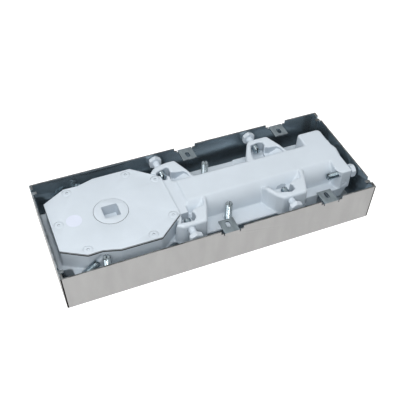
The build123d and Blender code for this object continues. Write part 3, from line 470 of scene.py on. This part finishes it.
def faces_a_pocket(face):
    """Whether a steep face of the casting looks into one of the ears' pockets."""
    x, y, z = face.center
    if abs(face.normal.z) > 0.6 or not POCKET_HEIGHTS[0] < z < POCKET_HEIGHTS[1]:
        return False
    for pocket_x, pocket_y in POCKETS:
        away_x, away_y = pocket_x - x, pocket_y - y
        distance = math.hypot(away_x, away_y)
        towards = face.normal.x * away_x + face.normal.y * away_y
        if distance < POCKET_REACH and towards > 0.3 * distance:
            return True
    return False


casting = clean_copy("housing", "casting", 0.1)
remesh = casting.modifiers.new("sand_cast", "REMESH")
remesh.mode = "VOXEL"
remesh.voxel_size = CASTING_VOXEL
bpy.ops.object.modifier_apply(modifier="sand_cast")
soften = casting.modifiers.new("soft_edges", "SMOOTH")
soften.factor = 0.5
soften.iterations = 5
bpy.ops.object.modifier_apply(modifier="soft_edges")
thin = casting.modifiers.new("fewer_faces", "DECIMATE")
thin.ratio = min(1.0, CASTING_TRIANGLES / (2.0 * len(casting.data.polygons)))
bpy.ops.object.modifier_apply(modifier="fewer_faces")
casting.data.materials.clear()
casting.data.materials.append(casting_paint)
casting.data.materials.append(shaded_paint)
# Steep faces looking into the ears' pockets get the darker paint, as painted shade.
for face in casting.data.polygons:
    if faces_a_pocket(face):
        face.material_index = 1
smooth_by_angle(casting, 60)
finish_piece(casting, "closer", "casting_paint", "housing")


def dress_nodes(body, slot, finish, nodes, rounding=0.0002, angle=35):
    """A cleaned and slightly rounded copy of each node, all in one finish."""
    for node in nodes:
        piece = clean_copy(node, node + "_dressed")
        if rounding:
            apply_bevel(piece, rounding, 2, 50)
        piece.data.materials.append(finish)
        smooth_by_angle(piece, angle)
        finish_piece(piece, body, slot, node)


# Bearings and seals. Ground steel rings carry the spindle above and below the cam, a thin
# bronze washer takes its weight, a bronze bush guides the piston rod, and a moulded rubber
# ring seals the spindle under its disc.
bearing_steel, tree, shader = new_finish("bearing_steel", (0.62, 0.63, 0.65), 0.18, 1.0)
add_grain(tree, shader, (1.0, 1.0, 12.0), ((0.57, 0.58, 0.60), (0.67, 0.68, 0.70)),
          90.0, (0.08, 0.0001), 1600.0)
bronze, tree, shader = new_finish("bronze", (0.60, 0.40, 0.19), 0.32, 1.0)
add_grain(tree, shader, (1.0, 1.0, 1.0), ((0.52, 0.34, 0.16), (0.66, 0.45, 0.22)),
          120.0, (0.12, 0.0001), 1500.0)
nitrile, tree, shader = new_finish("nitrile_rubber", (0.02, 0.02, 0.021), 0.55)
add_grain(tree, shader, (1.0, 1.0, 1.0), ((0.016, 0.016, 0.017), (0.026, 0.026, 0.027)),
          140.0, (0.2, 0.0001), 1200.0)
dress_nodes("closer", "bearing_steel", bearing_steel, ("lower_bearing", "upper_bearing"), 0.0003)
dress_nodes("closer", "bronze", bronze, ("thrust_washer", "rod_bush"))
dress_nodes("closer", "seal_rubber", nitrile, ("spindle_seal",))

# Spindle. A turned steel spindle whose top disc lies flush in the lid with a thin gap round
# it; the disc is painted with the lid, and its broached square socket takes the door's insert.
SOCKET_REACH = 0.013
PAINTED_ABOVE = 0.0322
socketed_spindle = clean_copy("spindle", "socketed_spindle")
apply_bevel(socketed_spindle, 0.0002, 2, 50)
turned_steel, tree, shader = new_finish("turned_steel", (0.55, 0.56, 0.57), 0.3, 1.0)
add_grain(tree, shader, (1.0, 1.0, 1.0), ((0.50, 0.51, 0.52), (0.60, 0.61, 0.62)),
          80.0, (0.1, 0.0001), 1500.0)
for finish in (casting_paint, turned_steel, shaded_paint, groove_painted_shade):
    socketed_spindle.data.materials.append(finish)
# Below the disc is bare turned steel; the socket's walls get the darker paint and the disc's rim the
# dark groove colour, both painted shade.
for face in socketed_spindle.data.polygons:
    from_axis = math.hypot(face.center.x, face.center.y)
    if face.center.z < PAINTED_ABOVE:
        face.material_index = 1
    elif abs(face.normal.z) < 0.3:
        face.material_index = 2 if from_axis < SOCKET_REACH else 3
smooth_by_angle(socketed_spindle)
finish_piece(socketed_spindle, "spindle", "casting_paint", "spindle")

# Heart cam. A flame-hardened steel cam, milled to a heart outline and darkened by the heat,
# with a square key that drives it from the spindle.
hardened_steel, tree, shader = new_finish("hardened_steel", (0.30, 0.29, 0.28), 0.3, 1.0)
add_grain(tree, shader, (1.0, 1.0, 1.0), ((0.22, 0.21, 0.20), (0.38, 0.37, 0.37)),
          60.0, (0.1, 0.0001), 1400.0)
dress_nodes("spindle", "machined_steel", hardened_steel, ("heart_cam", "cam_key"), 0.0004)

# Carriage. Two slotted plates sawn from flat bar, held apart by two spacers, with the cam
# roller on its pin at one end and the crosshead that takes the piston rod at the other.
dress_nodes("carriage", "machined_steel", turned_steel,
            ("lower_plate", "upper_plate", "plate_spacers", "crosshead"), 0.0003)
dress_nodes("carriage", "bearing_steel", bearing_steel, ("roller_pin",))
dress_nodes("cam_roller", "bearing_steel", bearing_steel, ("cam_roller",), 0.0004)

# Piston and spring. A turned rod pulls the piston through the oil against a dark coil spring;
# the piston has a rubber ring in its groove, a ball check valve, and a nut behind it. The
# spring rides on the carriage.
spring_wire, tree, shader = new_finish("spring_wire", (0.05, 0.052, 0.055), 0.35, 0.6)
add_grain(tree, shader, (1.0, 1.0, 1.0), ((0.04, 0.041, 0.044), (0.07, 0.072, 0.075)),
          90.0, (0.15, 0.0001), 1200.0)
dress_nodes("carriage", "machined_steel", turned_steel,
            ("piston_rod", "spring_plate", "piston", "rod_nut"), 0.0004)
dress_nodes("carriage", "spring_steel", spring_wire, ("main_spring",), 0.0, 60)
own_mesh(bpy.data.objects["main_spring_dressed"])
dress_nodes("carriage", "seal_rubber", nitrile, ("piston_seal",))
dress_nodes("check_valve_ball", "bearing_steel", bearing_steel, ("check_valve_ball",), 0.0, 60)

# Cylinder end. A turned plug with a hexagon socket and a rubber ring closes the cylinder, and
# a small plug beside it fills the oil; both are sprayed over with the casting.
dress_nodes("closer", "casting_paint", casting_paint, ("cylinder_end_plug", "oil_filler_plug"), 0.0004)
dress_nodes("closer", "seal_rubber", nitrile, ("end_plug_seal",))

# Regulating valves. Two slotted turned screws meter the oil, one from each side of the end
# block; only their sprayed faces show, in shallow recesses, and each has a rubber ring.
for name in ("closing", "latching"):
    dress_nodes(name + "_valve", "casting_paint", casting_paint, (name + "_speed_valve",))
    dress_nodes(name + "_valve", "seal_rubber", nitrile, (name + "_valve_seal",), 0.0)

# Lid. A flat cast plate with seven corners, painted with the head it closes, on a dark
# paper gasket; seven countersunk screws sit in shallow dimples, their sockets half filled
# with paint, and a blank round label is stuck on the left.
LID_EDGE_ROUNDING = 0.0003
LID_SIDE_ABOVE = 0.0413
LID_OUTLINE_X = (-0.055, 0.052)
LID_OUTLINE_Y = 0.040
LID_MIDDLE_RADIUS = 0.050
LID_SCREWS = (
    (-0.0548, 0.0), (-0.0360, 0.0415), (-0.0360, -0.0415), (0.0305, 0.0463), (0.0305, -0.0463),
    (0.0583, 0.0282), (0.0583, -0.0282),
)
SCREW_SEAT = 0.0426
SCREW_HEAD_RADIUS = 0.0042
SEAT_TOLERANCE = 0.00005
PAINT_SKIRT = (0.00485, 0.0431)
PAINTED_SOCKET = (0.0019, 0.0426)
SOCKET_FLOOR_DEPTHS = (0.0005, 0.0025)

cut_steel, tree, shader = new_finish("lid_cut_edge", (0.46, 0.49, 0.51), 0.6, 0.1)
add_grain(tree, shader, (1.0, 1.0, 1.0), ((0.40, 0.43, 0.45), (0.52, 0.55, 0.57)),
          120.0, (0.3, 0.0002), 900.0)
lid_plate = clean_copy("lid", "lid_plate")
lid_plate.data.materials.append(casting_paint)
lid_plate.data.materials.append(cut_steel)
for face in lid_plate.data.polygons:
    x, y, z = face.center
    on_outline = not LID_OUTLINE_X[0] <= x <= LID_OUTLINE_X[1] or abs(y) > LID_OUTLINE_Y
    is_side = abs(face.normal.z) < 0.3 and z > LID_SIDE_ABOVE
    if on_outline and is_side and math.hypot(x, y) > LID_MIDDLE_RADIUS:
        face.material_index = 1
apply_bevel(lid_plate, LID_EDGE_ROUNDING, 3, 60)
smooth_by_angle(lid_plate)
finish_piece(lid_plate, "closer", "casting_paint", "lid")

gasket_paper, tree, shader = new_finish("gasket_paper", (0.045, 0.047, 0.05), 0.8)
add_grain(tree, shader, (1.0, 1.0, 1.0), ((0.03, 0.032, 0.034), (0.06, 0.062, 0.066)),
          60.0, (0.3, 0.0001), 1500.0)
gasket_sheet = clean_copy("lid_gasket", "gasket_sheet")
gasket_sheet.data.materials.append(gasket_paper)
finish_piece(gasket_sheet, "closer", "seal_rubber", "lid_gasket")


def nearest_screw(x, y):
    """The axis of the lid screw nearest to a point, and the point's distance from it."""
    screw_x, screw_y = min(LID_SCREWS, key=lambda place: math.hypot(x - place[0], y - place[1]))
    return screw_x, screw_y, math.hypot(x - screw_x, y - screw_y)


cover_screws = clean_copy("lid_screws", "cover_screws")
for vertex in cover_screws.data.vertices:
    x, y, z = vertex.co
    screw_x, screw_y, from_axis = nearest_screw(x, y)
    if abs(z - SCREW_SEAT) < SEAT_TOLERANCE and abs(from_axis - SCREW_HEAD_RADIUS) < SEAT_TOLERANCE:
        grow = PAINT_SKIRT[0] / from_axis
        vertex.co = (screw_x + (x - screw_x) * grow, screw_y + (y - screw_y) * grow, PAINT_SKIRT[1])
    elif (from_axis < PAINTED_SOCKET[0]
          and SCREW_SEAT - SOCKET_FLOOR_DEPTHS[1] < z < SCREW_SEAT - SOCKET_FLOOR_DEPTHS[0]):
        vertex.co.z = PAINTED_SOCKET[1]
apply_bevel(cover_screws, 0.00015, 2, 50)
for finish in (casting_paint, shaded_paint, groove_painted_shade):
    cover_screws.data.materials.append(finish)
# Steep faces above the seat: the sockets' walls get the dark groove colour and the rest of the heads'
# sides the darker paint, both painted shade.
for face in cover_screws.data.polygons:
    x, y, z = face.center
    if z > SCREW_SEAT and abs(face.normal.z) < 0.3:
        face.material_index = 2 if nearest_screw(x, y)[2] < PAINTED_SOCKET[0] else 1
smooth_by_angle(cover_screws)
finish_piece(cover_screws, "closer", "painted_bolt", "lid_screws")

lavender_label, tree, shader = new_finish("lavender_label", (0.71, 0.76, 0.88), 0.5)
add_grain(tree, shader, (1.0, 1.0, 1.0), ((0.70, 0.75, 0.87), (0.72, 0.77, 0.89)),
          90.0, (0.1, 0.0001), 1800.0)
round_label = clean_copy("lid_label", "round_label")
apply_bevel(round_label, 0.00005, 1, 50)
round_label.data.materials.append(lavender_label)
smooth_by_angle(round_label)
finish_piece(round_label, "closer", "label", "lid_label")

# Lateral bolts. Four M8 hexagon-headed bolts run through the ears to the walls of the box and
# a fifth through the arm of the end block; sprayed over outside, they are bare zinc inside
# the pockets, where their slotted ends are turned.
HEX_ACROSS_FLATS = 0.013
HEX_HEIGHT = 0.0053
HEX_CHAMFER = 0.0009
CHAMFER_SLOPE = 1.6
HEAD_STEPS = 48
EAR_INSIDE = 0.0440
BOLT_Z = 0.0384
BLOCK_INSIDE = 0.2500
SHANK_START = 0.002
LATERAL_BOLTS = (
    ("front_left", 0.070, -0.0652, -0.0360),
    ("front_right", 0.184, -0.0636, -0.0318),
    ("back_left", 0.0688, 0.0612, 0.0310),
    ("back_right", 0.184, 0.0612, 0.0330),
)
END_BOLT_FACE = Vector((0.2701, -0.0332, 0.0393))
END_BOLT_TIP_X = 0.2370


def hexagon_head():
    """A forged head along Z from 0, its outer face at 0, with the usual round chamfer there."""
    corner_radius = HEX_ACROSS_FLATS / 2 / math.cos(math.pi / 6)
    levels = [(i * HEX_CHAMFER / 4, True) for i in range(5)] + [(HEX_HEIGHT, False)]
    work = bmesh.new()
    rings = []
    for z, is_chamfered in levels:
        ring = []
        for step in range(HEAD_STEPS):
            angle = 2 * math.pi * step / HEAD_STEPS
            from_flat = (angle + math.pi / 6) % (math.pi / 3) - math.pi / 6
            radius = HEX_ACROSS_FLATS / 2 / math.cos(from_flat)
            if is_chamfered:
                radius = min(radius, corner_radius - (HEX_CHAMFER - z) * CHAMFER_SLOPE)
            ring.append(work.verts.new((radius * math.cos(angle), radius * math.sin(angle), z)))
        rings.append(ring)
    for lower, upper in zip(rings, rings[1:]):
        for i in range(HEAD_STEPS):
            j = (i + 1) % HEAD_STEPS
            work.faces.new((lower[i], lower[j], upper[j], upper[i]))
    work.faces.new(rings[0][::-1])
    work.faces.new(rings[-1])
    bmesh.ops.recalc_face_normals(work, faces=work.faces)
    mesh = bpy.data.meshes.new("head")
    work.to_mesh(mesh)
    work.free()
    head = bpy.data.objects.new("head", mesh)
    scene.collection.objects.link(head)
    return head


def hexagon_bolt(name, face_at, inward, length, is_painted):
    """A bolt whose head's outer face is at a point and whose shank runs along inward."""
    rod = threaded_rod("shank", length - SHANK_START)
    rod.data.transform(Matrix.Translation((0.0, 0.0, SHANK_START)))
    bolt = join_pieces(name, [hexagon_head(), rod])
    turn = inward.to_track_quat("Z", "Y").to_matrix().to_4x4()
    bolt.data.transform(Matrix.Translation(face_at) @ turn)
    finish_thread(bolt, face_at, inward, is_painted)
    finish_piece(bolt, name, "painted_bolt", name)


def outside_ear(place):
    return abs(place.y) > EAR_INSIDE


def outside_block(place):
    return place.x > BLOCK_INSIDE


for name, x, face_y, end_y in LATERAL_BOLTS:
    inward = Vector((0.0, math.copysign(1.0, end_y - face_y), 0.0))
    hexagon_bolt(name + "_bolt", Vector((x, face_y, BOLT_Z)), inward, abs(end_y - face_y), outside_ear)
hexagon_bolt("end_bolt", END_BOLT_FACE, Vector((-1.0, 0.0, 0.0)), END_BOLT_FACE.x - END_BOLT_TIP_X,
             outside_block)

# Clamping screws. Two slotted M8 screws lean towards the spindle's end of the box and bear on
# its floor there; they are bare zinc, like the height studs.
CLAMP_TOP = (-0.0298, 0.0500, 0.0297)
CLAMP_TILT = math.radians(41.4)
CLAMP_LENGTH = 0.030
CLAMP_SLOT_TURN = math.radians(90)
for side, name in ((-1, "front"), (1, "back")):
    screw = threaded_rod(name + "_slotted_screw", CLAMP_LENGTH, CLAMP_SLOT_TURN)
    upward = Vector((math.cos(CLAMP_TILT), 0.0, math.sin(CLAMP_TILT)))
    top = Vector((CLAMP_TOP[0], side * CLAMP_TOP[1], CLAMP_TOP[2]))
    place = Matrix.Translation(top - upward * CLAMP_LENGTH)
    screw.data.transform(place @ Matrix.Rotation(math.pi / 2 - CLAMP_TILT, 4, "Y"))
    finish_thread(screw, top, upward, never_painted)
    finish_piece(screw, name + "_clamp_screw", "zinc_screw", name + "_clamp_screw")
